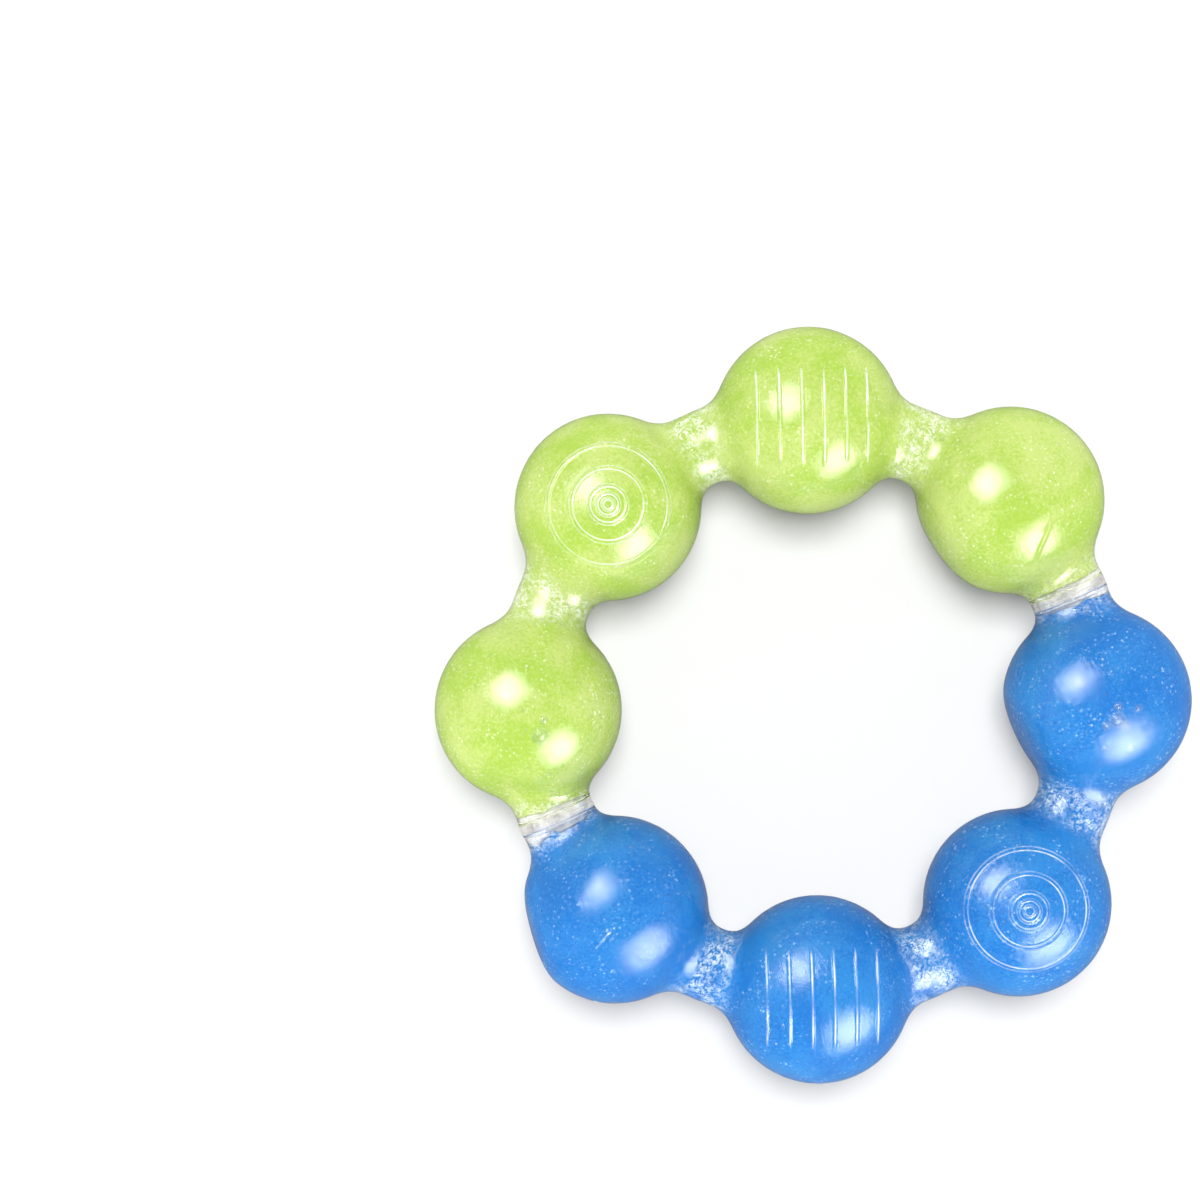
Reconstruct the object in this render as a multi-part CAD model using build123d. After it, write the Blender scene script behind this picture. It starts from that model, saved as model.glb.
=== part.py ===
from build123d import *
import os
from math import cos, radians, sin, sqrt

# A gel-filled teething ring: two equal half rings of four hollow beads each, moulded in clear
# soft plastic, filled with coloured gel, closed at both ends by a stopper and welded end to end.
# The ring lies flat. The origin is on its axis at floor level, +Z is up, the two welded joints
# lie on the X axis, and the green half is on the +Y side.

# ---- driving dimensions, in millimetres ----
bead_diameter = 25.0
pitch_diameter = 76.0            # circle through the bead centres
beads_in_ring = 8
neck_diameter = 10.1             # tube between two beads
neck_circle_diameter = 74.6      # circle that the necks are bent round
neck_fillet = 2.6                # where a neck meets a bead
end_fillet = 1.5                 # the same, at the two ends of a half
end_diameter = 10.4              # flat end of a half, slightly flared
wall = 1.2                       # shell thickness

stopper_head = 0.65              # thickness of the disc that closes an end
spigot_length = 1.4              # plug part of the stopper, inside the neck
spigot_play = 0.25               # gap between plug and bore, closed by one sealing rib
spigot_edge = 0.5                # rounding of the plug's inner end
rib_height = 0.3                 # middle of the sealing rib, measured from the head

relief = 0.2                     # how far a moulded ridge stands out of its bead
ridge_width = 0.6
stripe_pitch = 2.9
stripes_per_face = 6
stripe_length = 14.0
swirl_radii = (2.4, 4.8, 8.1)    # concentric ridges round the bead's top and bottom

# ---- sizes worked out from them ----
bead_radius = bead_diameter / 2
pitch_radius = pitch_diameter / 2
neck_radius = neck_diameter / 2
neck_circle_radius = neck_circle_diameter / 2
bore_radius = end_diameter / 2 - wall
plug_length = spigot_length - spigot_edge        # straight part of the spigot
sealed_length = rib_height + spigot_play         # part of the spigot that the rib keeps free of gel
bead_step = 360 / beads_in_ring
bead_angles = [bead_step * (place + 0.5) for place in range(beads_in_ring // 2)]
striped_place = 1                # which bead of a half is striped, counted from its +X end
swirled_place = 2
stripe_edge = (stripe_pitch - ridge_width) / 2
mid_height = sqrt((bead_radius + relief) ** 2 - stripe_edge ** 2)

up_from_base = (Align.CENTER, Align.CENTER, Align.MIN)


def bead_frame(place):
    """Middle of a bead, with local +X pointing away from the ring's axis."""
    angle = bead_angles[place]
    x = pitch_radius * cos(radians(angle))
    y = pitch_radius * sin(radians(angle))
    return Location((x, y, mid_height), (0, 0, angle))


def end_frame(side):
    """Middle of a welded joint at +X or -X, with local +Z along the neck into the green half."""
    return Location((side * neck_circle_radius, 0, mid_height), (-90, 0, 0))


def neck_roots(body, low_y, high_y):
    """Edges where a neck runs into a bead, within a range of Y."""
    curves = body.edges().filter_by(GeomType.BSPLINE)
    return curves.filter_by(lambda edge: low_y < edge.bounding_box().center().Y < high_y)


def string_of_beads(shrink):
    """Four beads on a bent tube with a short straight end at each side, as one solid."""
    tube = neck_radius - shrink
    sweep = bead_angles[-1] - bead_angles[0]
    start = Location((0, 0, mid_height), (0, 0, bead_angles[0]))
    body = start * Torus(neck_circle_radius, tube, major_angle=sweep, align=None)
    for place in range(len(bead_angles)):
        body += bead_frame(place) * Sphere(bead_radius - shrink)
    first_bead_y = pitch_radius * sin(radians(bead_angles[0]))
    body = fillet(neck_roots(body, first_bead_y, pitch_radius + bead_radius), neck_fillet)

    length = first_bead_y - stopper_head
    for side in (1, -1):
        end = Cone(end_diameter / 2 - shrink, tube - 0.2, length, align=up_from_base)
        body += end_frame(side) * Pos(0, 0, stopper_head) * end
    return fillet(neck_roots(body, 0, first_bead_y / 2), end_fillet)


def stripes():
    """Straight ridges on the top and bottom of a bead, pointing at the ring's axis."""
    skin = Sphere(bead_radius + relief)
    bars = Part()
    for index in range(stripes_per_face):
        y = (index - (stripes_per_face - 1) / 2) * stripe_pitch
        bars += Pos(0, y, 0) * Box(stripe_length, ridge_width, 3 * bead_radius)
    return skin & bars


def swirl():
    """Concentric rings on the top and bottom of a bead."""
    rings = Part()
    path_radius = bead_radius + relief - ridge_width / 2
    for radius in swirl_radii:
        height = sqrt(path_radius ** 2 - radius ** 2)
        for face in (1, -1):
            rings += Pos(0, 0, face * height) * Torus(radius, ridge_width / 2)
    return rings


def half_shell(cavity):
    """One moulded half: a hollow string of beads, open at both ends, with its ridges."""
    outer = string_of_beads(0)
    outer += bead_frame(striped_place) * stripes()
    outer += bead_frame(swirled_place) * swirl()
    open_ends = Part()
    for side in (1, -1):
        mouth = Cylinder(bore_radius, stopper_head + plug_length, align=up_from_base)
        open_ends += end_frame(side) * mouth
    return outer - cavity - open_ends


def end_stopper(side):
    """Clear plug that seals an end: a head disc, and a spigot with a sealing rib."""
    head = Cylinder(end_diameter / 2, stopper_head, align=up_from_base)
    spigot = Cylinder(bore_radius - spigot_play, spigot_length, align=up_from_base)
    spigot = fillet(spigot.edges().sort_by(Axis.Z)[-1], spigot_edge)
    rib = Pos(0, 0, rib_height) * Torus(bore_radius - spigot_play, spigot_play)
    return end_frame(side) * (head + Pos(0, 0, stopper_head) * (spigot + rib))


def gel_filling(cavity):
    """Gel that fills a half, up to the sealing rib of the stopper at each end."""
    gel = cavity
    for side in (1, -1):
        seat = Cylinder(end_diameter, sealed_length, align=up_from_base)
        gel -= end_frame(side) * Pos(0, 0, stopper_head) * seat
        gel -= end_stopper(side)
    return gel


def write(name, shape):
    """Save one piece as its own file."""
    shape.label = name
    export_step(shape, f"parts/{name}.step")


os.makedirs("parts", exist_ok=True)
cavity = string_of_beads(wall)
shell = half_shell(cavity)
gel = gel_filling(cavity)
halves = {"green": 0, "blue": 180}
for colour, turn in halves.items():
    write(f"{colour}_half_shell", Rot(0, 0, turn) * shell)
    write(f"{colour}_gel", Rot(0, 0, turn) * gel)
    for side, hand in ((1, "right"), (-1, "left")):
        facing = side if colour == "green" else -side
        write(f"{colour}_end_stopper_{hand}", Rot(0, 0, turn) * end_stopper(facing))
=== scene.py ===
"""Looks of the gel-filled teething ring: clear shells, gel, stoppers, bubbles, light and camera."""
import math

import bmesh
import bpy
import numpy as np
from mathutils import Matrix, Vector


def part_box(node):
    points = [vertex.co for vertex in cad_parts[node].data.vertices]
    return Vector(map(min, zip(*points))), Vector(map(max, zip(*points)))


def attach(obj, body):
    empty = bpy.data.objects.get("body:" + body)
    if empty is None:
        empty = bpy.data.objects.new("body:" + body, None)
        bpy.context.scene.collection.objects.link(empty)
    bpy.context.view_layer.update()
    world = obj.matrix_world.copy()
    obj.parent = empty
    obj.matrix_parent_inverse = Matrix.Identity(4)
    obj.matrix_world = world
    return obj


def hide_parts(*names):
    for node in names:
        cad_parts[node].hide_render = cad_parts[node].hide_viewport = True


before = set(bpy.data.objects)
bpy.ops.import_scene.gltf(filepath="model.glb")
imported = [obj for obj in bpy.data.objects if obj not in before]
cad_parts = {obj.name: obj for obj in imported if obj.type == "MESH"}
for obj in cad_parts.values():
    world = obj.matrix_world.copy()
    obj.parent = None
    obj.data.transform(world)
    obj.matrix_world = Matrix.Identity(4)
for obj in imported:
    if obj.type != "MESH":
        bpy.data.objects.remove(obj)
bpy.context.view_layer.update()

# ---------------------------------------------------------------- sizes, in metres
MM = 0.001
BEAD_RADIUS = 12.5 * MM
PITCH_RADIUS = 38.0 * MM                 # circle through the bead centres
NECK_CIRCLE = 37.3 * MM                  # radius of the circle that the necks follow
NECK_RADIUS = 5.05 * MM
END_RADIUS = 5.2 * MM                    # flared flat end of a half
FLARE_LENGTH = 0.9 * MM
NECK_BLEND = 2.2 * MM                    # how softly a neck runs into a bead
WALL = 1.2 * MM
STOPPER_HEAD = 0.65 * MM
STOPPER_EDGE = 0.08 * MM
SPIGOT_LENGTH = 1.4 * MM
SPIGOT_RADIUS = 3.75 * MM
SPIGOT_EDGE = 0.5 * MM
RIB_HEIGHT = 0.3 * MM                    # middle of the sealing rib, from the stopper's head
BORE_RADIUS = END_RADIUS - WALL
SEAM_GAP = 0.02 * MM                     # hairline between two pieces that touch
RIM_ROUNDING = 0.12 * MM
GEL_START = STOPPER_HEAD + RIB_HEIGHT + BORE_RADIUS - SPIGOT_RADIUS + SEAM_GAP
BEAD_ANGLES = (22.5, 67.5, 112.5, 157.5)
STRIPED, SWIRLED = 1, 2                  # places of the textured beads in a half
STRIPE_PITCH = 2.9 * MM
STRIPES = 6
STRIPE_HALF_LENGTH = 7.0 * MM
STRIPE_TAPER = 1.2 * MM                  # length over which a stripe runs out at its end
STRIPE_SHORTENING = 0.175                # of a stripe's half, per distance from the bead's middle
RIDGE_HALF_WIDTH = 0.36 * MM
RIDGE_HEIGHT = 0.2 * MM
# Concentric ridges: (radius, half width, height), in millimetres.
SWIRL_RIDGES = ((7.9, 0.42, 0.2), (4.8, 0.42, 0.2), (2.45, 0.36, 0.18), (1.45, 0.3, 0.13), (0.7, 0.26, 0.1))
BEAD_ZONE = 1.3 * BEAD_RADIUS            # a bead's ridges are all this near its centre

# ---------------------------------------------------------------- detail of the meshes
COARSENESS = 1.0
MOST_ROUNDS = 30                         # of splitting, more than a mesh needs
SEED_POINTS, SEED_RINGS = 40, 130        # of the coarse mesh that each half is refined from
STOPPER_SEGMENTS = 128
ARC_STEPS = 8
SLOPE_STEP = 1e-6                        # distance over which a field's slope is measured
FLATTEST = 0.05                          # least squared slope that a point follows
TIE_BREAKER = 1e-13                      # makes every edge's length its own

shell_low, shell_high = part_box("green_half_shell")
MID_HEIGHT = (shell_low.z + shell_high.z) / 2


# ---------------------------------------------------------------- shape of a half, as a distance field
# Points are in a half's own frame: its beads at +Y, its flat ends on the plane Y = STOPPER_HEAD, and
# Z = 0 halfway up. Fields are negative inside.

def smooth_min(a, b, width):
    share = np.clip(0.5 + 0.5 * (b - a) / width, 0, 1)
    return b * (1 - share) + a * share - width * share * (1 - share)


def smooth_max(a, b, width):
    return -smooth_min(-a, -b, width)


def smooth_step(low, high, x):
    t = np.clip((x - low) / (high - low), 0, 1)
    return t * t * (3 - 2 * t)


def bead_frame(angle):
    """Centre of a bead, the direction away from the ring's axis, and the direction along the ring."""
    a = math.radians(angle)
    outward = np.array((math.cos(a), math.sin(a), 0))
    along = np.array((-math.sin(a), math.cos(a), 0))
    return PITCH_RADIUS * outward, outward, along


def in_bead(points, angle):
    """Coordinates from a bead's centre: away from the ring's axis, along the ring, and up."""
    centre, outward, along = bead_frame(angle)
    q = points - centre
    return q @ outward, q @ along, q[:, 2]


def dented_sphere(u, v, w, dents):
    """Distance to a bead flattened by dents, each with its (u, v, w) direction, depth and softness."""
    field = np.sqrt(u * u + v * v + w * w) - BEAD_RADIUS
    for direction, depth, softness in dents:
        d = np.array(direction, float) / np.linalg.norm(direction)
        flat = u * d[0] + v * d[1] + w * d[2] - (BEAD_RADIUS - depth)
        field = smooth_max(field, flat, softness)
    return field


def neck_field(points):
    """Distance to the tube that joins the beads, flared at its two flat ends."""
    off_circle = np.hypot(points[:, 0], points[:, 1]) - NECK_CIRCLE
    flare = (END_RADIUS - NECK_RADIUS) * np.exp(-np.abs(points[:, 1] - STOPPER_HEAD) / FLARE_LENGTH)
    return np.hypot(off_circle, points[:, 2]) - NECK_RADIUS - flare


def body_field(points, dents):
    """Distance to the plain outer skin of a half."""
    beads = [dented_sphere(*in_bead(points, angle), dents.get(place, ()))
             for place, angle in enumerate(BEAD_ANGLES)]
    return smooth_min(np.min(beads, axis=0), neck_field(points), NECK_BLEND)


def crest(distance, half_width):
    """Height, from 0 to 1, of a rounded ridge at a distance from its crest."""
    t = np.clip(distance / half_width, -1, 1)
    return 0.5 + 0.5 * np.cos(math.pi * t)


def stripe_lane(v):
    """Place of the nearest stripe, counted in pitches from the bead's middle."""
    return np.clip(np.round(v / STRIPE_PITCH - 0.5), -STRIPES // 2, STRIPES // 2 - 1) + 0.5


def stripe_relief(points):
    """Height of the straight ridges, which the striped bead carries above and below."""
    u, v, w = in_bead(points, BEAD_ANGLES[STRIPED])
    lane = stripe_lane(v)
    reach = STRIPE_HALF_LENGTH - STRIPE_SHORTENING * np.abs(lane) * STRIPE_PITCH
    taper = 1 - smooth_step(reach - STRIPE_TAPER, reach, np.abs(u))
    near = np.sqrt(u * u + v * v + w * w) < BEAD_ZONE
    return RIDGE_HEIGHT * crest(v - lane * STRIPE_PITCH, RIDGE_HALF_WIDTH) * taper * near


def swirl_relief(points):
    """Height of the concentric ridges."""
    u, v, w = in_bead(points, BEAD_ANGLES[SWIRLED])
    radius = np.hypot(u, v)
    near = np.sqrt(radius ** 2 + w * w) < BEAD_ZONE
    relief = sum(height * MM * crest(radius - at * MM, half_width * MM)
                 for at, half_width, height in SWIRL_RIDGES)
    return relief * near


def crease_relief(points, creases):
    """Soft folds in the skin, each (place, start u, start v, end u, end v, half width, height)."""
    relief = np.zeros(len(points))
    for place, start_u, start_v, end_u, end_v, half_width, height in creases:
        u, v, w = in_bead(points, BEAD_ANGLES[place])
        run = np.array((end_u - start_u, end_v - start_v))
        length = np.linalg.norm(run)
        run = run / length
        along = (u - start_u) * run[0] + (v - start_v) * run[1]
        across = (v - start_v) * run[0] - (u - start_u) * run[1]
        fade = smooth_step(0, 0.25 * length, along) * smooth_step(0, 0.25 * length, length - along)
        relief += height * crest(across, half_width) * fade * (w > 0)
    return relief


def shell_field(dents, creases):
    """A hollow half with its ridges, cut off flat and slightly rounded at its two ends."""
    def field(points):
        plain = body_field(points, dents)
        skin = plain - stripe_relief(points) - swirl_relief(points) - crease_relief(points, creases)
        ends = STOPPER_HEAD + SEAM_GAP - points[:, 1]
        solid = smooth_max(skin, ends, RIM_ROUNDING)
        return smooth_max(solid, -(plain + WALL), RIM_ROUNDING)
    return field


def gel_edge(points, shrinkage):
    """Where the gel starts along a neck: a ragged edge, drawn back from the stopper at each end."""
    plus_end, minus_end, outward = shrinkage
    turn = np.arctan2(points[:, 2], np.abs(points[:, 0]) - NECK_CIRCLE)
    drawn_back = np.where(points[:, 0] > 0, plus_end, minus_end)
    ragged = 0.5 + 0.2 * np.sin(3 * turn + 1) + 0.15 * np.sin(7 * turn + 2.3) + 0.1 * np.sin(13 * turn)
    lean = 1 + outward * np.cos(turn)
    return GEL_START + drawn_back * ragged * lean


def gel_field(dents, pits, shrinkage):
    """The filling, a hair inside the wall, hollowed at its ends by the stoppers and above by the pits."""
    def field(points):
        inside = body_field(points, dents) + WALL + SEAM_GAP
        solid = smooth_max(inside, gel_edge(points, shrinkage) - points[:, 1], RIM_ROUNDING)
        off_axis = np.hypot(np.abs(points[:, 0]) - NECK_CIRCLE, points[:, 2]) - SPIGOT_RADIUS
        spigot = smooth_max(off_axis, points[:, 1] - STOPPER_HEAD - SPIGOT_LENGTH, SPIGOT_EDGE)
        solid = smooth_max(solid, SEAM_GAP - spigot, RIM_ROUNDING)
        for centre, radius, _, _ in pits:
            hollow = radius - np.linalg.norm(points - centre, axis=1)
            solid = smooth_max(solid, hollow, 0.15 * radius)
        return solid
    return field


# ---------------------------------------------------------------- meshes that follow a field

def gradient(field, points, here=None):
    """Slope of a field at points, one-sided and quicker if the field's values there are given."""
    columns = []
    for axis in np.eye(3) * SLOPE_STEP:
        if here is None:
            columns.append((field(points + axis) - field(points - axis)) / (2 * SLOPE_STEP))
        else:
            columns.append((field(points + axis) - here) / SLOPE_STEP)
    return np.stack(columns, axis=1)


def settle(field, points, rounds=2):
    """Moves points along the field's slope until they lie on its surface."""
    for _ in range(rounds):
        here = field(points)
        slope = gradient(field, points, here)
        points = points - (here / np.maximum((slope ** 2).sum(1), FLATTEST))[:, None] * slope
    return points


def refine(field, points, triangles, size):
    """Splits edges until each is shorter than size(midpoint), with every new point on the surface.

    An edge is split only while it is the longest of both its triangles, so that no gap opens.
    """
    for _ in range(MOST_ROUNDS):
        corners = np.sort(triangles[:, [0, 1, 1, 2, 2, 0]].reshape(-1, 2), axis=1)
        edges, of_corner = np.unique(corners, axis=0, return_inverse=True)
        of_triangle = of_corner.reshape(-1, 3)
        ends = points[edges]
        length = np.linalg.norm(ends[:, 0] - ends[:, 1], axis=1) + np.arange(len(edges)) * TIE_BREAKER
        marked = length > size(ends.mean(1))
        if not marked.any():
            break
        longest = of_triangle[np.arange(len(triangles)), length[of_triangle].argmax(1)]
        while True:
            before = marked.sum()
            marked[longest[marked[of_triangle].any(1)]] = True
            if marked.sum() == before:
                break
        users = np.bincount(of_corner.ravel(), minlength=len(edges))
        split = marked & (np.bincount(longest, minlength=len(edges)) == users)
        new_index = np.full(len(edges), -1)
        new_index[split] = len(points) + np.arange(split.sum())
        points = np.vstack([points, settle(field, ends[split].mean(1))])
        cut = split[longest]
        kept, halved, middle = triangles[~cut], triangles[cut], new_index[longest[cut]]
        turn = (of_triangle[cut] == longest[cut][:, None]).argmax(1)
        row = np.arange(len(halved))
        a, b, c = (halved[row, (turn + k) % 3] for k in range(3))
        triangles = np.vstack([kept, np.stack([a, middle, c], 1), np.stack([middle, b, c], 1)])
    return points, triangles


def tube_seed(rings, closed_ends):
    """Triangles that join equal rings of points in turn, with capped ends or round in a loop."""
    count = len(rings[0])
    points = np.vstack(rings)
    triangles = []
    spans = len(rings) - 1 if closed_ends else len(rings)
    for i in range(spans):
        first, second = i * count, (i + 1) % len(rings) * count
        for j in range(count):
            k = (j + 1) % count
            triangles.append((first + j, first + k, second + k))
            triangles.append((first + j, second + k, second + j))
    if closed_ends:
        for ring, step in ((0, -1), (len(rings) - 1, 1)):
            middle = len(points)
            points = np.vstack([points, rings[ring].mean(0)])
            for j in range(count):
                k = (j + step) % count
                triangles.append((ring * count + j, ring * count + k, middle))
    return points, np.array(triangles)


def neck_circle(y, radius, turn, side):
    """A circle of points round the neck's axis on the plane Y = y, at the +X or -X end of a half."""
    x = side * (NECK_CIRCLE + radius * np.cos(side * turn))
    return np.stack([x, np.full_like(turn, y), radius * np.sin(turn)], 1)


def cross_sections(start, shrink, dents):
    """Rings of points from one flat end at Y = start to the other, on the plain skin shrunk by shrink."""
    turn = np.linspace(0, 2 * math.pi, SEED_POINTS, endpoint=False)
    first = math.degrees(math.asin(start / (NECK_CIRCLE - END_RADIUS))) + 1.0
    rings = []
    for angle in np.linspace(first, 180 - first, SEED_RINGS):
        a = math.radians(angle)
        nearest = min(abs(angle - at) for at in BEAD_ANGLES)
        off_bead = PITCH_RADIUS * math.sin(math.radians(nearest))
        bead = math.sqrt(max(BEAD_RADIUS ** 2 - off_bead ** 2, 0))
        radius = max(bead, NECK_RADIUS) - shrink
        reach = NECK_CIRCLE + radius * np.cos(turn)
        ring = np.stack([reach * math.cos(a), reach * math.sin(a), radius * np.sin(turn)], 1)
        rings.append(settle(lambda points: body_field(points, dents) + shrink, ring, rounds=8))
    plus_end = neck_circle(start, END_RADIUS - shrink, turn, 1)
    minus_end = neck_circle(start, END_RADIUS - shrink, turn, -1)
    return [plus_end, *rings, minus_end]


def shell_seed(dents):
    """The coarse shell: its outside and its inside, joined round the two flat ends."""
    outside = cross_sections(STOPPER_HEAD + SEAM_GAP, 0, dents)
    inside = cross_sections(STOPPER_HEAD + SEAM_GAP, WALL, dents)
    return tube_seed(outside[::-1] + inside, closed_ends=False)


def gel_seed(dents):
    """The coarse gel: its outside, closed at each end by the hollow round the spigot."""
    rings = cross_sections(GEL_START, WALL + SEAM_GAP, dents)
    turn = np.linspace(0, 2 * math.pi, SEED_POINTS, endpoint=False)
    tip = STOPPER_HEAD + SPIGOT_LENGTH + SEAM_GAP
    for side in (1, -1):
        cap = [neck_circle(GEL_START, SPIGOT_RADIUS + SEAM_GAP, turn, side),
               neck_circle(tip - SPIGOT_EDGE, SPIGOT_RADIUS + SEAM_GAP, turn, side),
               neck_circle(tip, SPIGOT_RADIUS - SPIGOT_EDGE, turn, side),
               neck_circle(tip, SPIGOT_RADIUS / 2, turn, side)]
        rings = cap[::-1] + rings if side == 1 else rings + cap
    return tube_seed(rings[::-1], closed_ends=True)


def ridge_zone(points):
    """Distance from the nearest moulded ridge, roughly."""
    u, v, w = in_bead(points, BEAD_ANGLES[STRIPED])
    stripe = np.maximum(np.abs(v - stripe_lane(v) * STRIPE_PITCH), np.abs(u) - STRIPE_HALF_LENGTH)
    stripe = np.maximum(stripe, np.abs(np.sqrt(u * u + v * v + w * w) - BEAD_RADIUS))
    u, v, w = in_bead(points, BEAD_ANGLES[SWIRLED])
    radius = np.hypot(u, v)
    rings = np.min([np.abs(radius - at * MM) for at, _, _ in SWIRL_RIDGES], axis=0)
    rings = np.maximum(rings, np.abs(np.sqrt(radius ** 2 + w * w) - BEAD_RADIUS))
    return np.minimum(stripe, rings)


def fine_near(distance, finest, within, rate):
    """Edge length that is finest up to a distance from a feature, and grows from there at a rate."""
    return finest + rate * np.maximum(distance - within, 0)


def shell_size(creases):
    """Edge length of the shell's mesh: finer at its ends and round its ridges and creases."""
    def size(points):
        coarse = 1.2 * MM * COARSENESS
        rim = np.abs(points[:, 1] - STOPPER_HEAD)
        near_rim = fine_near(rim, 0.2 * MM, 0.12 * MM, 0.8)
        near_ridge = fine_near(ridge_zone(points), 0.19 * MM, 0.38 * MM, 1.2) * COARSENESS
        folded = (crease_relief(points, creases) > 0.02 * MM) & (body_field(points, {}) > -0.5 * WALL)
        near_crease = np.where(folded, 0.24 * MM * COARSENESS, coarse)
        return np.minimum(np.minimum(coarse, near_crease), np.minimum(near_rim, near_ridge))
    return size


def gel_size(pits):
    """Edge length of the gel's mesh: finer at its ends and round the pits."""
    def size(points):
        from_spigot = points[:, 1] - STOPPER_HEAD - SPIGOT_LENGTH
        wanted = np.minimum(1.1 * MM * COARSENESS, fine_near(from_spigot, 0.25 * MM, 0, 0.25))
        for centre, radius, _, _ in pits:
            to_pit = np.abs(np.linalg.norm(points - centre, axis=1) - radius)
            wanted = np.minimum(wanted, fine_near(to_pit, 0.16 * radius, 0.25 * radius, 0.6))
        return wanted
    return size


def to_ring(points, facing):
    """From a half's own frame to the ring's: facing is 1, or -1 for the half that is turned round."""
    return points * (facing, facing, 1) + (0, 0, MID_HEIGHT)


def from_ring(points, facing):
    return (points - (0, 0, MID_HEIGHT)) * (facing, facing, 1)


def make_object(name, points, faces):
    """A smooth mesh object in the ring's frame."""
    mesh = bpy.data.meshes.new(name)
    mesh.from_pydata(points.tolist(), [], faces)
    mesh.polygons.foreach_set("use_smooth", np.ones(len(faces), bool))
    mesh.update()
    obj = bpy.data.objects.new(name, mesh)
    bpy.context.scene.collection.objects.link(obj)
    return obj


def field_object(name, field, seed, size, facing):
    """A mesh refined from its seed until it follows the field, with the field's own normals."""
    points, triangles = seed
    points = settle(field, points, rounds=12)
    points, triangles = refine(field, points, triangles, size)
    points = settle(field, points)
    slope = gradient(field, points)
    normals = slope / np.linalg.norm(slope, axis=1)[:, None]
    obj = make_object(name, to_ring(points, facing), triangles.tolist())
    obj.data.normals_split_custom_set_from_vertices((normals * (facing, facing, 1)).tolist())
    return obj


def points_of(obj, facing):
    """The mesh's vertices, in the half's own frame."""
    points = np.zeros(len(obj.data.vertices) * 3)
    obj.data.vertices.foreach_get("co", points)
    return from_ring(points.reshape(-1, 3), facing)


def face_centres_of(obj, facing):
    """The middles of the mesh's faces, in the half's own frame."""
    centres = np.zeros(len(obj.data.polygons) * 3)
    obj.data.polygons.foreach_get("center", centres)
    return from_ring(centres.reshape(-1, 3), facing)


# ---------------------------------------------------------------- shader helpers

def new_material(name):
    material = bpy.data.materials.new(name)
    material.use_nodes = True
    nodes = material.node_tree.nodes
    nodes.clear()
    output = nodes.new("ShaderNodeOutputMaterial")
    return material, material.node_tree, output


def node(tree, kind, inputs=None, **settings):
    """A shader node; each input is a number, a colour or an output socket to link."""
    made = tree.nodes.new(kind)
    for key, value in settings.items():
        setattr(made, key, value)
    for key, value in (inputs or {}).items():
        if isinstance(value, bpy.types.NodeSocket):
            tree.links.new(value, made.inputs[key])
        else:
            made.inputs[key].default_value = value
    return made


def noise(tree, place, scale, detail=2.0, roughness=0.5, distortion=0.0):
    made = node(tree, "ShaderNodeTexNoise", {"Vector": place, "Scale": scale, "Detail": detail,
                                             "Roughness": roughness, "Distortion": distortion})
    return made.outputs["Fac"]


def remap(tree, value, low, high, to_low, to_high):
    """The value's range from low to high, stretched to another range and clamped to it."""
    made = node(tree, "ShaderNodeMapRange", {"Value": value, "From Min": low, "From Max": high,
                                             "To Min": to_low, "To Max": to_high})
    return made.outputs["Result"]


def math_node(tree, operation, a, b):
    return node(tree, "ShaderNodeMath", {0: a, 1: b}, operation=operation).outputs["Value"]


def vector_node(tree, operation, a, b, output="Vector"):
    return node(tree, "ShaderNodeVectorMath", {0: a, 1: b}, operation=operation).outputs[output]


def distance_from(tree, value, line):
    """How far a value is from a line's value, on either side."""
    return math_node(tree, "ABSOLUTE", math_node(tree, "SUBTRACT", value, line), 0)


def mix_colour(tree, share, a, b):
    made = node(tree, "ShaderNodeMix", {0: share, 6: a, 7: b}, data_type="RGBA", clamp_factor=True)
    return made.outputs[2]


def mix_number(tree, share, a, b):
    return node(tree, "ShaderNodeMix", {0: share, 2: a, 3: b}, data_type="FLOAT").outputs[0]


def mix_shader(tree, share, a, b):
    return node(tree, "ShaderNodeMixShader", {0: share, 1: a, 2: b}).outputs["Shader"]


def place_of(tree):
    return node(tree, "ShaderNodeTexCoord").outputs["Object"]


def squeezed(tree, place):
    """A place squeezed along X, so that marks on it run along Y; the turn picks its own pattern."""
    made = node(tree, "ShaderNodeMapping", {"Vector": place, "Scale": (9, 1, 1), "Rotation": (0, 0, 0.6)})
    return made.outputs["Vector"]


# ---------------------------------------------------------------- materials

def clear_plastic(name, tint, painted_light, dullest, rubbed, facing=None, haze=0.0):
    """Soft moulded plastic with uneven gloss, shallow waves and rub marks.

    With a facing it is a shell's, with painted highlight lines on its ridges, and without one it has an even
    painted whitening for the bright light seen through it.
    """
    material, tree, output = new_material(name)
    place = place_of(tree)
    gloss = remap(tree, noise(tree, place, 190, 4, 0.6), 0.35, 0.7, 0.3 * dullest, dullest)
    waves = noise(tree, place, 330, 2, 0.4)
    rubs = noise(tree, squeezed(tree, place), 240, 4, 0.7)
    height = math_node(tree, "ADD", waves, math_node(tree, "MULTIPLY", rubs, rubbed))
    bump = node(tree, "ShaderNodeBump", {"Strength": 0.7, "Distance": 0.00006, "Height": height})
    plastic = node(tree, "ShaderNodeBsdfPrincipled",
                   {"Base Color": tint, "Roughness": gloss, "IOR": 1.48, "Transmission Weight": 1.0,
                    "Normal": bump.outputs["Normal"]})
    uneven = remap(tree, noise(tree, place, 170, 4, 0.7), 0.38, 0.6, 0.2, 1.0)
    # painted light: whitish highlight lines on a shell's ridges, or an even painted whitening on a stopper,
    # mixed over the clear plastic
    painted_share = haze if facing is None else painted_ridge_highlights(tree, place, facing)
    painted_surface = node(tree, "ShaderNodeBsdfPrincipled", {"Base Color": painted_light, "Roughness": 0.3})
    surface = mix_shader(tree, math_node(tree, "MULTIPLY", painted_share, uneven),
                         plastic.outputs["BSDF"], painted_surface.outputs["BSDF"])
    let_light_through(tree, output, surface)
    return material


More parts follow.
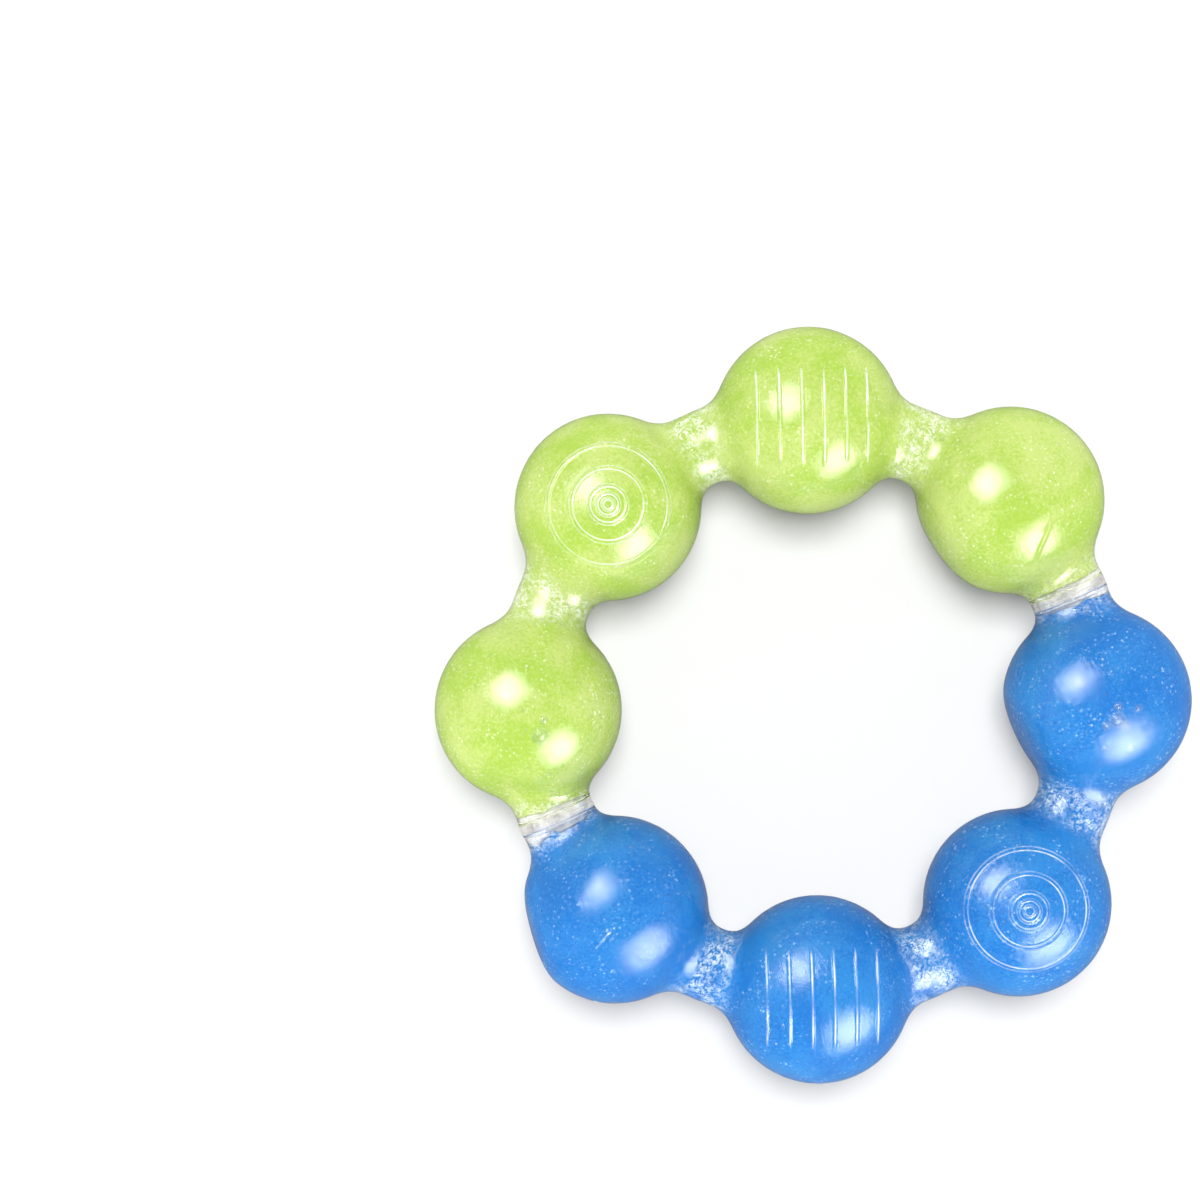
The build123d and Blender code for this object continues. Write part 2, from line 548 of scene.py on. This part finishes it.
def let_light_through(tree, output, surface):
    """Lamps and diffuse light pass the clear surface straight, so what is inside is lit without caustics."""
    path = node(tree, "ShaderNodeLightPath")
    straight = math_node(tree, "MAXIMUM", path.outputs["Is Shadow Ray"], path.outputs["Is Diffuse Ray"])
    clear = node(tree, "ShaderNodeBsdfTransparent", {"Color": (0.97, 0.97, 0.97, 1)})
    passing = mix_shader(tree, straight, surface, clear.outputs["BSDF"])
    tree.links.new(passing, output.inputs["Surface"])


def painted_ridge_highlights(tree, place, facing):
    """Up to 1 along the edges of the moulded ridges: a painted highlight, as if they caught light all the way
    round.
    """
    level = vector_node(tree, "MULTIPLY", place, (1, 1, 0))
    swirl = swirl_lines(tree, level, facing)
    return math_node(tree, "MAXIMUM", swirl, stripe_lines(tree, level, facing))


def swirl_lines(tree, level, facing):
    """Two painted highlight lines on each concentric ridge: a strong one inside its crest and a weak one
    outside.
    """
    centre = facing * bead_frame(BEAD_ANGLES[SWIRLED])[0]
    radius = vector_node(tree, "DISTANCE", level, tuple(centre), "Value")
    # the painted highlight lines, gathered ridge by ridge
    painted_light = None
    for at, half_width, _ in SWIRL_RIDGES:
        for edge, most in ((-0.4, 0.6), (0.7, 0.3)):
            off_line = distance_from(tree, radius, (at + edge * half_width) * MM)
            line = remap(tree, off_line, 0.03 * MM, 0.13 * MM, most, 0)
            painted_light = line if painted_light is None else math_node(tree, "MAXIMUM", painted_light, line)
    return painted_light


def stripe_lines(tree, level, facing):
    """One painted highlight line on each straight ridge, weaker at the ridge's middle and gone at its ends.
    """
    centre, outward, along = bead_frame(BEAD_ANGLES[STRIPED])
    from_centre = vector_node(tree, "SUBTRACT", level, tuple(facing * centre))
    reach = distance_from(tree, vector_node(tree, "DOT_PRODUCT", from_centre, tuple(outward), "Value"), 0)
    across = distance_from(tree, vector_node(tree, "DOT_PRODUCT", from_centre, tuple(along), "Value"), 0)
    in_lane = math_node(tree, "PINGPONG", across, STRIPE_PITCH / 2)
    off_line = math_node(tree, "SUBTRACT", STRIPE_PITCH / 2, in_lane)
    line = remap(tree, off_line, 0.06 * MM, 0.17 * MM, 0.7, 0)
    ends = remap(tree, reach, STRIPE_HALF_LENGTH - 1.6 * MM, STRIPE_HALF_LENGTH - 0.4 * MM, 1, 0)
    middle = remap(tree, reach, 0.3 * MM, 2.4 * MM, 0.3, 1)
    half_band = STRIPES / 2 * STRIPE_PITCH
    sides = remap(tree, across, half_band - 0.4 * MM, half_band, 1, 0)
    return math_node(tree, "MULTIPLY", math_node(tree, "MULTIPLY", line, middle),
                     math_node(tree, "MULTIPLY", ends, sides))


def wetted_wall(name):
    """The inner wall where gel touches it: nearly the same index, so light passes straight."""
    material, tree, output = new_material(name)
    haze = noise(tree, place_of(tree), 400, 2)
    colour = mix_colour(tree, haze, (1, 1, 1, 1), (0.97, 0.97, 0.97, 1))
    clear = node(tree, "ShaderNodeBsdfTransparent", {"Color": colour})
    tree.links.new(clear.outputs["BSDF"], output.inputs["Surface"])
    return material


def gel(name, deep, bright, pale, white):
    """Coloured gel: cloudy patches, a fine grain, drifts of tiny bubbles, and froth in the necks."""
    material, tree, output = new_material(name)
    place = place_of(tree)
    clouds = remap(tree, noise(tree, place, 130, 4, 0.6, 0.5), 0.36, 0.64, 0, 1)
    grain = remap(tree, noise(tree, place, 2500, 3, 0.8), 0.36, 0.64, -0.5, 0.5)
    body = mix_colour(tree, math_node(tree, "ADD", clouds, grain), deep, bright)
    drifts = remap(tree, noise(tree, place, 210, 3, 0.6), 0.44, 0.66, 0.05, 0.95)
    flecks = remap(tree, noise(tree, place, 2900, 2, 0.7, 0.6), 0.59, 0.7, 0, 0.6)
    specks = math_node(tree, "MAXIMUM", bubble_spots(tree, place, 1250, 0.12, 0.24), flecks)
    body = mix_colour(tree, math_node(tree, "MULTIPLY", specks, drifts), body, pale)
    foam, shadows = froth_pattern(tree, place)
    body = mix_colour(tree, foam, body, white)
    body = mix_colour(tree, shadows, body, deep)
    height = math_node(tree, "ADD", grain, math_node(tree, "ADD", foam, specks))
    bump = node(tree, "ShaderNodeBump", {"Strength": 0.5, "Distance": 0.0001, "Height": height})
    filling = node(tree, "ShaderNodeBsdfPrincipled",
                   {"Base Color": body, "Roughness": 0.4, "IOR": 1.12, "Subsurface Weight": 0.15,
                    "Subsurface Radius": (1, 1, 1), "Subsurface Scale": 0.0004,
                    "Normal": bump.outputs["Normal"]})
    tree.links.new(filling.outputs["BSDF"], output.inputs["Surface"])
    return material


def froth_pattern(tree, place):
    """Shares of foam and of the shadows between its bubbles, where the mesh says that there is froth."""
    froth = node(tree, "ShaderNodeAttribute", attribute_name="froth").outputs["Fac"]
    stirred = node(tree, "ShaderNodeTexNoise", {"Vector": place, "Scale": 900.0, "Detail": 2.0})
    shift = vector_node(tree, "MULTIPLY", stirred.outputs["Color"], (0.9 * MM, 0.9 * MM, 0.9 * MM))
    packed = vector_node(tree, "ADD", place, shift)
    crumbs = remap(tree, noise(tree, place, 2100, 2, 0.6, 0.8), 0.55, 0.6, 0, 1)
    small = math_node(tree, "MAXIMUM", bubble_spots(tree, packed, 2300, 0.18, 0.38), crumbs)
    rims = math_node(tree, "MULTIPLY", bubble_rims(tree, packed, 1700), 0.7)
    patches = remap(tree, noise(tree, place, 420, 2, 0.6), 0.38, 0.6, 0.12, 0.9)
    foam = math_node(tree, "MULTIPLY", math_node(tree, "MULTIPLY", froth, patches),
                     math_node(tree, "MAXIMUM", rims, small))
    gaps = math_node(tree, "MULTIPLY", froth, bubble_spots(tree, packed, 1330, 0.1, 0.3))
    return foam, math_node(tree, "MULTIPLY", gaps, 0.6)


def bubble_spots(tree, place, scale, core, edge):
    """1 inside small round spots, 0 between them."""
    cells = node(tree, "ShaderNodeTexVoronoi", {"Vector": place, "Scale": scale, "Randomness": 1.0})
    return remap(tree, cells.outputs["Distance"], core, edge, 1, 0)


def bubble_rims(tree, place, scale):
    """Nearly 1 on the outlines of packed bubbles, 0 inside them."""
    cells = node(tree, "ShaderNodeTexVoronoi", {"Vector": place, "Scale": scale, "Randomness": 1.0})
    off_rim = distance_from(tree, cells.outputs["Distance"], 0.38)
    return remap(tree, off_rim, 0.04, 0.16, 0.9, 0)


def bubble_skin(name, tint):
    """The surface of an air bubble: clear in the middle, mirror-like at its rim and where a lamp shows."""
    material, tree, output = new_material(name)
    rim = node(tree, "ShaderNodeLayerWeight", {"Blend": 0.35}).outputs["Facing"]
    uneven = remap(tree, noise(tree, place_of(tree), 900, 2), 0.3, 0.7, 0.08, 0.2)
    edge = math_node(tree, "MULTIPLY", math_node(tree, "POWER", rim, 2.5), 0.5)
    clear = node(tree, "ShaderNodeBsdfTransparent", {"Color": (1, 1, 1, 1)})
    mirror = node(tree, "ShaderNodeBsdfPrincipled", {"Base Color": tint, "Roughness": 0.15, "Metallic": 0.35})
    surface = mix_shader(tree, math_node(tree, "ADD", uneven, edge),
                         clear.outputs["BSDF"], mirror.outputs["BSDF"])
    tree.links.new(surface, output.inputs["Surface"])
    return material


# ---------------------------------------------------------------- the two halves

# Marks of use, in each bead's own directions (outward, along the ring, up) and metres.
DENTS = {
    "green": {0: (((-0.98, 0.19, 0.1), 0.5 * MM, 2.0 * MM),),
              3: (((0.3, 0.9, 0.5), 0.3 * MM, 2.0 * MM),)},
    "blue": {0: (((0.86, -0.5, 0.1), 0.85 * MM, 1.6 * MM), ((0.2, -0.75, 0.62), 0.45 * MM, 1.6 * MM)),
             3: (((-0.91, -0.41, 0.1), 1.1 * MM, 1.6 * MM),)},
}
CREASES = {
    "green": ((0, 1.9 * MM, -4.4 * MM, -4.7 * MM, -7.2 * MM, 0.45 * MM, 0.2 * MM),),
    "blue": ((0, 1.0 * MM, 0.4 * MM, 6.4 * MM, 0.8 * MM, 0.5 * MM, 0.2 * MM),
             (0, 1.5 * MM, -4.6 * MM, 5.5 * MM, -5.4 * MM, 0.7 * MM, 0.2 * MM)),
}
# How far the gel has drawn back from the stoppers, at the +X end and at the -X end of the half's own
# frame, and the share by which it has drawn back further on the outside of the ring.
GEL_SHRINKAGE = {"green": (0.25 * MM, 0.5 * MM, 0.2), "blue": (1.7 * MM, 0.7 * MM, 0.45)}
FROTH_STARTS, FROTH_FULL = 10.8 * MM, 13.6 * MM     # from the upright axis of the nearest bead
# Bubbles that press on the wall, each (place, outward, along, radius), hollow pits in the gel.
PITS = {
    "green": ((3, -1.7 * MM, 3.0 * MM, 1.15 * MM), (3, -2.2 * MM, 1.0 * MM, 0.6 * MM),
              (3, 2.6 * MM, -2.2 * MM, 0.6 * MM)),
    "blue": ((3, -3.7 * MM, 2.6 * MM, 0.7 * MM), (3, 2.0 * MM, -3.0 * MM, 0.7 * MM),
             (3, 0.9 * MM, -2.2 * MM, 1.05 * MM), (3, -0.6 * MM, -2.9 * MM, 0.55 * MM),
             (3, 1.0 * MM, -0.5 * MM, 0.6 * MM), (3, 3.6 * MM, -0.8 * MM, 0.5 * MM),
             (3, 2.7 * MM, -5.8 * MM, 0.6 * MM), (3, -0.5 * MM, -5.8 * MM, 0.45 * MM)),
}
# In radii of a pit's opening: the ball that hollows it, its bubble, and the ring round its bubble.
PIT_BALL, PIT_BALL_ABOVE_GEL = 1.1, 0.46
PIT_BUBBLE, PIT_BUBBLE_FLATTENED, PIT_BUBBLE_DEPTH = 0.78, 0.48, 0.78
PIT_RING, PIT_RING_THICKNESS, PIT_RING_DEPTH = 0.92, 0.12, 0.56
# Small bubbles: (place of the bead, number), and (angle of the neck, spread in degrees, number).
BUBBLES_IN_BEADS = {
    "green": ((0, 120), (1, 60), (2, 60), (3, 260)),
    "blue": ((0, 60), (1, 60), (2, 60), (3, 110)),
}
BUBBLES_IN_NECKS = ((4.5, 1.6, 60), (45, 5.0, 150), (90, 5.0, 150), (135, 5.0, 150), (175.5, 1.6, 60))
# Their radii in millimetres, and the share of each radius.
BEAD_BUBBLE_RADII = (0.11, 0.16, 0.22, 0.3), (0.4, 0.32, 0.2, 0.08)
NECK_BUBBLE_RADII = (0.1, 0.15, 0.22, 0.32), (0.4, 0.3, 0.2, 0.1)
BUBBLE_SINKS = 0.35                      # how deep its middle lies in the gel, in radii
ROUGH_BALL_BELOW = 0.2 * MM              # a bubble smaller than this gets a coarser mesh


def pit_balls(colour):
    """(centre, radius, direction, opening) of the ball that hollows each pit, in the half's own frame."""
    pits = []
    for place, u, v, opening in PITS[colour]:
        centre, outward, along = bead_frame(BEAD_ANGLES[place])
        gel_radius = BEAD_RADIUS - WALL
        w = math.sqrt(gel_radius ** 2 - u * u - v * v)
        direction = (u * outward + v * along + np.array((0, 0, w))) / gel_radius
        ball_centre = centre + direction * (gel_radius + PIT_BALL_ABOVE_GEL * opening)
        pits.append((ball_centre, PIT_BALL * opening, direction, opening))
    return pits


def add_shell(colour, facing, plastic, wall_film):
    """The clear half shell; its inner wall has its own material where gel touches it."""
    dents, creases = DENTS[colour], CREASES[colour]
    shell = field_object(f"{colour}_shell", shell_field(dents, creases), shell_seed(dents),
                         shell_size(creases), facing)
    shell.data.materials.append(plastic)
    shell.data.materials.append(wall_film)
    centres = face_centres_of(shell, facing)
    on_wall = body_field(centres, dents) < -0.5 * WALL
    in_gel = centres[:, 1] > gel_edge(centres, GEL_SHRINKAGE[colour])
    shell.data.polygons.foreach_set("material_index", (on_wall & in_gel).astype(np.int32))
    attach(shell, "root")
    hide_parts(f"{colour}_half_shell")
    return shell


def add_filling(colour, facing, pits, filling):
    """The gel, with the share of froth at each vertex."""
    dents = DENTS[colour]
    core = field_object(f"{colour}_filling", gel_field(dents, pits, GEL_SHRINKAGE[colour]),
                        gel_seed(dents), gel_size(pits), facing)
    core.data.materials.append(filling)
    points = points_of(core, facing)
    centres = [bead_frame(angle)[0] for angle in BEAD_ANGLES]
    nearest = np.min([np.hypot(points[:, 0] - x, points[:, 1] - y) for x, y, _ in centres], axis=0)
    froth = smooth_step(FROTH_STARTS, FROTH_FULL, nearest)
    layer = core.data.attributes.new("froth", "FLOAT", "POINT")
    layer.data.foreach_set("value", froth.astype(np.float32))
    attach(core, "root")
    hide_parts(f"{colour}_gel")
    return core


def ball(subdivisions):
    """Vertices and triangles of a ball of radius 1."""
    mesh = bmesh.new()
    bmesh.ops.create_icosphere(mesh, subdivisions=subdivisions, radius=1)
    points = np.array([v.co for v in mesh.verts])
    triangles = np.array([[v.index for v in face.verts] for face in mesh.faces])
    mesh.free()
    return points, triangles


def thin_ring(thickness):
    """Vertices and triangles of a thin ring of radius 1, where a bubble's edge clings to the wall."""
    around = np.linspace(0, 2 * math.pi, 48, endpoint=False)
    section = np.linspace(0, 2 * math.pi, 8, endpoint=False)
    turn, tilt = np.meshgrid(around, section, indexing="ij")
    reach = 1 + thickness * np.cos(tilt)
    points = np.stack((reach * np.cos(turn), reach * np.sin(turn), thickness * np.sin(tilt)), 2)
    return tube_seed(list(points[::-1]), closed_ends=False)


def small_bubbles(colour, rng):
    """Middles and radii of bubbles near the gel's skin: loose ones in beads, crowded ones in necks."""
    middles, radii = [], []
    for place, count in BUBBLES_IN_BEADS[colour]:
        directions = rng.normal(size=(count, 3))
        directions /= np.linalg.norm(directions, axis=1)[:, None]
        middles.append(bead_frame(BEAD_ANGLES[place])[0] + directions * (BEAD_RADIUS - WALL))
        sizes, shares = BEAD_BUBBLE_RADII
        radii.append(rng.choice(sizes, size=count, p=shares) * MM)
    tube = NECK_RADIUS - WALL
    for angle, spread, count in BUBBLES_IN_NECKS:
        a = np.radians(angle + rng.uniform(-spread, spread, count))
        turn = rng.uniform(0, 2 * math.pi, count)
        reach = NECK_CIRCLE + tube * np.cos(turn)
        middles.append(np.stack([reach * np.cos(a), reach * np.sin(a), tube * np.sin(turn)], 1))
        sizes, shares = NECK_BUBBLE_RADII
        radii.append(rng.choice(sizes, size=count, p=shares) * MM)
    return np.vstack(middles), np.concatenate(radii)


def pit_bubble(centre, direction, opening, shape):
    """A ball flattened along the pit's direction, at the pit's bottom."""
    flat = shape * PIT_BUBBLE - np.outer(shape @ direction, direction) * PIT_BUBBLE_FLATTENED
    return centre - direction * PIT_BUBBLE_DEPTH * opening + flat * opening


def pit_ring(centre, direction, opening, ring):
    """A ring lying across the pit's direction, near its opening."""
    sideways = np.cross(direction, (1, 0, 0))
    sideways /= np.linalg.norm(sideways)
    frame_of_pit = np.stack((sideways, np.cross(direction, sideways), direction))
    return centre - direction * PIT_RING_DEPTH * opening + (ring @ frame_of_pit) * PIT_RING * opening


def add_bubbles(colour, facing, pits, skin, rng):
    """The air bubbles of a half as one mesh: small ones against the wall, and one in each pit."""
    middles, radii = small_bubbles(colour, rng)
    plain = gel_field(DENTS[colour], (), GEL_SHRINKAGE[colour])
    middles = settle(plain, middles, rounds=6)
    middles = middles - gradient(plain, middles) * radii[:, None] * BUBBLE_SINKS
    rough, fine, finest = ball(2), ball(3), ball(4)
    ring, ring_faces = thin_ring(PIT_RING_THICKNESS)
    parts = []
    for middle, radius in zip(middles, radii):
        shape, faces = rough if radius < ROUGH_BALL_BELOW else fine
        parts.append((middle + shape * radius, faces))
    for centre, _, direction, opening in pits:
        parts.append((pit_bubble(centre, direction, opening, finest[0]), finest[1]))
        parts.append((pit_ring(centre, direction, opening, ring), ring_faces))
    starts = np.cumsum([0] + [len(points) for points, _ in parts])
    points = np.vstack([points for points, _ in parts])
    faces = np.vstack([faces + start for (_, faces), start in zip(parts, starts)])
    bubbles = make_object(f"{colour}_bubbles", to_ring(points, facing), faces.tolist())
    bubbles.data.materials.append(skin)
    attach(bubbles, "root")
    return bubbles


def add_half(colour, facing, plastic, wall_film, filling, skin, rng):
    """One half of the ring without its stoppers, as a list of its pieces."""
    pits = pit_balls(colour)
    return [add_shell(colour, facing, plastic, wall_film), add_filling(colour, facing, pits, filling),
            add_bubbles(colour, facing, pits, skin, rng)]


# ---------------------------------------------------------------- stoppers

def stopper_profile():
    """(distance from the joint, radius) of an end stopper: disc head, then spigot with a sealing rib."""
    front = SEAM_GAP / 2
    back = STOPPER_HEAD
    tip = STOPPER_HEAD + SPIGOT_LENGTH
    rib = BORE_RADIUS - SEAM_GAP - SPIGOT_RADIUS
    profile = arc(front + STOPPER_EDGE, END_RADIUS - STOPPER_EDGE, STOPPER_EDGE, 180, 90)
    profile += arc(back - STOPPER_EDGE, END_RADIUS - STOPPER_EDGE, STOPPER_EDGE, 90, 0)
    profile += arc(STOPPER_HEAD + RIB_HEIGHT, SPIGOT_RADIUS, rib, 180, 0)
    profile += arc(tip - SPIGOT_EDGE, SPIGOT_RADIUS - SPIGOT_EDGE, SPIGOT_EDGE, 90, 0)
    return profile


def arc(along, radius, size, start, end):
    angles = [math.radians(start + (end - start) * i / ARC_STEPS) for i in range(ARC_STEPS + 1)]
    return [(along + size * math.cos(a), radius + size * math.sin(a)) for a in angles]


def add_stopper(node_name, side, facing, plastic):
    """A clear stopper turned about the neck's axis, at the joint on the +X or -X side of the ring."""
    profile = stopper_profile()
    around = STOPPER_SEGMENTS
    points, faces = [], []
    for along, radius in profile:
        for a in np.linspace(0, 2 * math.pi, around, endpoint=False):
            points.append((radius * math.cos(a), along, radius * math.sin(a)))
    for i in range(len(profile) - 1):
        for j in range(around):
            k = (j + 1) % around
            faces.append((i * around + j, i * around + k, (i + 1) * around + k, (i + 1) * around + j))
    faces.append(tuple(reversed(range(around))))
    faces.append(tuple(range((len(profile) - 1) * around, len(profile) * around)))
    points = np.array(points) * (facing, facing, 1) + (side * NECK_CIRCLE, 0, MID_HEIGHT)
    stopper = make_object(node_name.replace("end_stopper", "stopper"), points, faces)
    stopper.data.materials.append(plastic)
    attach(stopper, "root")
    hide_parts(node_name)


# ---------------------------------------------------------------- the ring

PAINTED_RIDGE_HIGHLIGHT = (0.86, 0.92, 0.96, 1)             # colour of the painted highlight lines on the shells' ridges
# colour of the stoppers' even painted whitening, which stands in for the bright light seen through them
PAINTED_STOPPER_LIGHT = (1.0, 0.965, 0.935, 1)

green_plastic = clear_plastic("green_shell_plastic", (0.99, 1.0, 0.97, 1), PAINTED_RIDGE_HIGHLIGHT, 0.15, 0.6, facing=1)
blue_plastic = clear_plastic("blue_shell_plastic", (0.97, 0.99, 1.0, 1), PAINTED_RIDGE_HIGHLIGHT, 0.3, 1.5, facing=-1)
# the stoppers' haze is painted light: an even whitening for the bright light seen through them
stopper_plastic = clear_plastic("stopper_plastic", (1.0, 0.97, 0.945, 1), PAINTED_STOPPER_LIGHT, 0.1, 0.5, haze=0.5)
film = wetted_wall("gel_film")
green_filling = gel("green_gel_filling", (0.37, 0.55, 0.07, 1), (0.52, 0.635, 0.19, 1),
                    (0.80, 0.86, 0.60, 1), (0.95, 0.98, 0.88, 1))
blue_filling = gel("blue_gel_filling", (0.010, 0.160, 0.530, 1), (0.026, 0.230, 0.60, 1),
                   (0.38, 0.62, 0.88, 1), (0.82, 0.92, 0.98, 1))
green_skin = bubble_skin("green_bubble_skin", (0.9, 1.0, 0.75, 1))
blue_skin = bubble_skin("blue_bubble_skin", (0.7, 0.88, 1.0, 1))

rng = np.random.default_rng(7)
pieces = add_half("green", 1, green_plastic, film, green_filling, green_skin, rng)
pieces += add_half("blue", -1, blue_plastic, film, blue_filling, blue_skin, rng)
for colour, facing in (("green", 1), ("blue", -1)):
    for hand, side in (("right", 1), ("left", -1)):
        add_stopper(f"{colour}_end_stopper_{hand}", side, facing, stopper_plastic)


# ---------------------------------------------------------------- floor, light and camera

VIEW_TURN = math.radians(-23.5)          # the way the picture is turned about the ring's axis
VIEW_RIGHT = np.array((math.cos(VIEW_TURN), math.sin(VIEW_TURN), 0))
VIEW_UP = np.array((-math.sin(VIEW_TURN), math.cos(VIEW_TURN), 0))
# The ring stands to the right of the frame's middle and below it.
FRAME_CENTRE = -0.0284 * VIEW_RIGHT + 0.0140 * VIEW_UP + (0, 0, MID_HEIGHT)
FRAME_WIDTH = 0.1604
CAMERA_DISTANCE = 0.42
SENSOR_WIDTH = 36                        # in millimetres
FLOOR_SIZE = 2.0
FLOOR_GREY = 0.38
MIRRORED_GREY = 0.11                     # the floor as seen by reflection on the outside of the pieces
TENT_TOP, TENT_RISE = 0.34, 3.0          # light of the tent overhead, and how much more at the horizon
TENT_MIRRORED = 0.22                     # the tent as seen by reflection on the outside of the pieces


def add_floor():
    corners = np.array([(-1, -1, 0), (1, -1, 0), (1, 1, 0), (-1, 1, 0)]) * FLOOR_SIZE / 2
    floor = make_object("floor", corners, [(0, 1, 2, 3)])
    material, tree, output = new_material("floor_white")
    paper = node(tree, "ShaderNodeBsdfDiffuse", {"Color": (FLOOR_GREY,) * 3 + (1,)})
    dimmed = node(tree, "ShaderNodeBsdfDiffuse", {"Color": (MIRRORED_GREY,) * 3 + (1,)})
    surface = mix_shader(tree, mirrored_outside(tree), paper.outputs["BSDF"], dimmed.outputs["BSDF"])
    tree.links.new(surface, output.inputs["Surface"])
    floor.data.materials.append(material)
    return floor


def mirrored_outside(tree):
    """1 for a ray that a surface has reflected before it entered any clear piece, else 0."""
    path = node(tree, "ShaderNodeLightPath")
    entered = math_node(tree, "GREATER_THAN", path.outputs["Transmission Depth"], 0.5)
    outside = math_node(tree, "SUBTRACT", 1.0, entered)
    return math_node(tree, "MULTIPLY", path.outputs["Is Glossy Ray"], outside)


def add_lamp(name, tilt, azimuth, distance, size, power):
    """A square lamp aimed at the frame's centre, placed by its tilt and its azimuth in the view."""
    data = bpy.data.lights.new(name, "AREA")
    data.shape = "SQUARE"
    data.size = size
    data.energy = power
    lamp = bpy.data.objects.new(name, data)
    bpy.context.scene.collection.objects.link(lamp)
    t, a = math.radians(tilt), math.radians(azimuth)
    side = math.cos(a) * VIEW_RIGHT + math.sin(a) * VIEW_UP
    offset = distance * (math.sin(t) * side + math.cos(t) * np.array((0, 0, 1)))
    lamp.location = FRAME_CENTRE + offset
    lamp.rotation_euler = Vector(offset).to_track_quat("Z", "Y").to_euler()
    lamp.visible_camera = False
    return lamp


def add_highlight(name, **place_and_power):
    """A soft-edged lamp that shows only as a highlight."""
    lamp = add_lamp(name, **place_and_power)
    lamp.visible_diffuse = False
    soften_edges(lamp.data)


def add_light(name, targets=None, **place_and_power):
    """A lamp that lights surfaces without showing in them, only the targets if they are given."""
    lamp = add_lamp(name, **place_and_power)
    lamp.visible_glossy = False
    lamp.visible_transmission = False
    if targets:
        receivers = bpy.data.collections.new(f"{name}_receivers")
        for target in targets:
            receivers.objects.link(target)
        lamp.light_linking.receiver_collection = receivers


def soften_edges(light):
    """The lamp's light falls off towards its four edges, as behind a diffuser."""
    light.use_nodes = True
    tree = light.node_tree
    tree.nodes.clear()
    on_lamp = node(tree, "ShaderNodeNewGeometry").outputs["Parametric"]
    across = node(tree, "ShaderNodeSeparateXYZ", {0: on_lamp})
    strength = 1.0
    for axis in ("X", "Y"):
        off_middle = distance_from(tree, across.outputs[axis], 0.5)
        fade = node(tree, "ShaderNodeMapRange",
                    {"Value": off_middle, "From Min": 0.5, "From Max": 0.08, "To Min": 0.0, "To Max": 1.0},
                    interpolation_type="SMOOTHSTEP")
        strength = math_node(tree, "MULTIPLY", fade.outputs["Result"], strength)
    glow = node(tree, "ShaderNodeEmission", {"Color": (1, 1, 1, 1), "Strength": strength})
    output = node(tree, "ShaderNodeOutputLight")
    tree.links.new(glow.outputs["Emission"], output.inputs["Surface"])


def add_world():
    """A light tent, brightest at the horizon, that is plain white to the camera."""
    world = bpy.data.worlds.new("studio")
    world.use_nodes = True
    tree = world.node_tree
    tree.nodes.clear()
    output = node(tree, "ShaderNodeOutputWorld")
    direction = node(tree, "ShaderNodeTexCoord").outputs["Generated"]
    upward = node(tree, "ShaderNodeSeparateXYZ", {0: direction}).outputs["Z"]
    from_top = math_node(tree, "SUBTRACT", 1.0, math_node(tree, "MAXIMUM", upward, 0.0))
    rise = math_node(tree, "MULTIPLY", math_node(tree, "POWER", from_top, 2.0), TENT_RISE)
    tent = math_node(tree, "ADD", rise, TENT_TOP)
    lit = mix_number(tree, mirrored_outside(tree), tent, TENT_MIRRORED)
    seen = mix_number(tree, node(tree, "ShaderNodeLightPath").outputs["Is Camera Ray"], lit, 1.0)
    light = node(tree, "ShaderNodeBackground", {"Color": (1, 1, 1, 1), "Strength": seen})
    tree.links.new(light.outputs["Background"], output.inputs["Surface"])
    bpy.context.scene.world = world


def add_camera():
    data = bpy.data.cameras.new("camera")
    data.sensor_width = SENSOR_WIDTH
    data.lens = SENSOR_WIDTH * CAMERA_DISTANCE / FRAME_WIDTH
    data.clip_start = 0.01
    camera = bpy.data.objects.new("camera", data)
    camera.location = FRAME_CENTRE + (0, 0, CAMERA_DISTANCE)
    camera.rotation_euler = (0, 0, VIEW_TURN)
    bpy.context.scene.collection.objects.link(camera)
    bpy.context.scene.camera = camera


floor = add_floor()
add_world()
add_highlight("upper_left_softbox", tilt=34.6, azimuth=136, distance=0.34, size=0.36, power=6.5)
add_highlight("lower_right_softbox", tilt=62, azimuth=-52, distance=0.43, size=0.45, power=10.0)
add_light("key_light", tilt=14, azimuth=90, distance=3.0, size=1.125, power=56.9)
add_light("floor_light", targets=[floor], tilt=12, azimuth=90, distance=3.0, size=1.25, power=147.0)
add_light("near_fill", targets=pieces, tilt=60, azimuth=-90, distance=0.9, size=0.5, power=3.6)
add_camera()
bpy.context.scene.view_settings.view_transform = "Standard"
